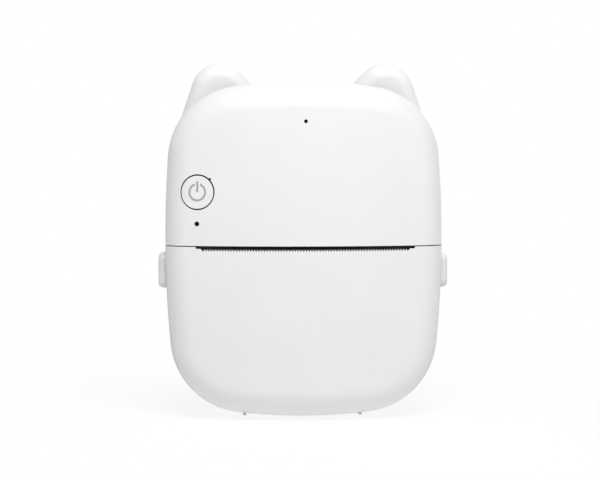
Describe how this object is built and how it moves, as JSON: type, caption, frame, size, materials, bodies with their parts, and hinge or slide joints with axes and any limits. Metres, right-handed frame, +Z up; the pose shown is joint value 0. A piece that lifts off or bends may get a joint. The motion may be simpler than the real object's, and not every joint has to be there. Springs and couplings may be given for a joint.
{
  "type": "pocket thermal label printer",
  "caption": "Palm-sized thermal label printer with a pillow-shaped shell, ear-shaped top corners, a hinged paper cover with a saw-toothed slot, side release tabs and a geared platen.",
  "frame": {"origin": "on the surface it stands on, under the middle of the case", "axes": "+Z up, front face towards -Y, +X to the right as seen from the front"},
  "size_m": [0.0832, 0.04, 0.1018],
  "materials": {
    "case_plastic": "fine satin moulding, off-white",
    "release_plastic": "satin moulding, pale grey-white",
    "button_plastic": "satin moulding, off-white",
    "black_plastic": "fine matt moulding, black",
    "lens_plastic": "smoked, polished",
    "chassis_plastic": "glass-filled, dark grey",
    "gear_plastic": "natural acetal",
    "bush_plastic": "graphite-filled acetal",
    "platen_rubber": "ground silicone rubber",
    "steel": "turned and plated steel",
    "spring_steel": "drawn spring wire",
    "screw_steel": "zinc-plated screws",
    "head_aluminium": "milled heat sink",
    "head_ceramic": "glazed alumina strip",
    "ribbon_film": "polyimide film",
    "brass": "hobbed brass",
    "board_green": "solder mask on glass laminate",
    "chip_black": "moulded chip packages",
    "socket_cream": "nylon sockets",
    "switch_black": "tact switches",
    "led_clear": "moulded light chip",
    "battery_foil": "laminated foil pouch",
    "foam": "closed-cell foam pad",
    "lead_red": "red insulated lead",
    "lead_black": "black insulated lead"
  },
  "bodies": {
    "root": {"rear_housing": "case_plastic", "upper_front": "case_plastic", "paper_guide": "black_plastic", "guide_screws": "screw_steel", "indicator_lens": "lens_plastic", "right_release_spring": "spring_steel", "left_release_spring": "spring_steel", "chassis": "chassis_plastic", "chassis_screws": "screw_steel", "head_springs": "spring_steel", "idler_post": "steel", "gear_cover": "chassis_plastic", "gear_cover_screws": "screw_steel", "motor": "steel", "motor_screws": "screw_steel", "main_board": "board_green", "board_chips": "chip_black", "board_connectors": "socket_cream", "power_switch": "switch_black", "reset_switch": "switch_black", "status_led": "led_clear", "usb_socket": "steel", "battery": "battery_foil", "battery_pad": "foam", "battery_lead": "lead_red", "motor_lead": "lead_black", "case_screws": "screw_steel"},
    "cover": {"paper_cover": "case_plastic", "platen_bushes": "bush_plastic", "hinge_pin": "steel"},
    "platen": {"platen_shaft": "steel", "platen_rubber": "platen_rubber", "platen_gear": "gear_plastic", "platen_clip": "spring_steel"},
    "idler": {"idler_gear": "gear_plastic"},
    "pinion": {"motor_pinion": "brass"},
    "print_head": {"print_head_plate": "head_aluminium", "print_head_ceramic": "head_ceramic", "head_cable": "ribbon_film"},
    "left_release": {"left_release_button": "release_plastic"},
    "right_release": {"right_release_button": "release_plastic"},
    "power_button": {"power_button": "button_plastic"}
  },
  "joints": [
    {"name": "cover_hinge", "type": "hinge", "parent": "root", "child": "cover", "pos_m": [0, -0.007, 0.0034], "axis": [1, 0, 0], "range_deg": [0, 80]},
    {"name": "platen_spin", "type": "hinge", "parent": "cover", "child": "platen", "pos_m": [0, -0.0065, 0.0436], "axis": [1, 0, 0], "continuous": true},
    {"name": "idler_spin", "type": "hinge", "parent": "root", "child": "idler", "pos_m": [0, 0.0047, 0.0436], "axis": [1, 0, 0], "continuous": true},
    {"name": "pinion_spin", "type": "hinge", "parent": "root", "child": "pinion", "pos_m": [0, 0.0093, 0.05157], "axis": [1, 0, 0], "continuous": true},
    {"name": "head_pivot", "type": "hinge", "parent": "root", "child": "print_head", "pos_m": [0, 0.00005, 0.0545], "axis": [1, 0, 0], "range_deg": [0, 2], "stiffness_Nm_per_rad": 0.1, "springref_deg": -2.86, "deforming": ["head_springs"]},
    {"name": "left_release_press", "type": "slide", "parent": "root", "child": "left_release", "axis": [1, 0, 0], "range_m": [0, 0.0012], "stiffness_N_per_m": 400, "springref_m": -0.001, "deforming": ["left_release_spring"]},
    {"name": "right_release_press", "type": "slide", "parent": "root", "child": "right_release", "axis": [-1, 0, 0], "range_m": [0, 0.0012], "stiffness_N_per_m": 400, "springref_m": -0.001, "deforming": ["right_release_spring"]},
    {"name": "power_button_press", "type": "slide", "parent": "root", "child": "power_button", "axis": [0.2838, 0.9589, 0], "range_m": [0, 0.0006], "stiffness_N_per_m": 600, "springref_m": -0.0005}
  ],
  "couplings": [
    {"joint": "idler_spin", "follows": "platen_spin", "ratio": -0.64706},
    {"joint": "pinion_spin", "follows": "platen_spin", "ratio": 1.8333}
  ]
}
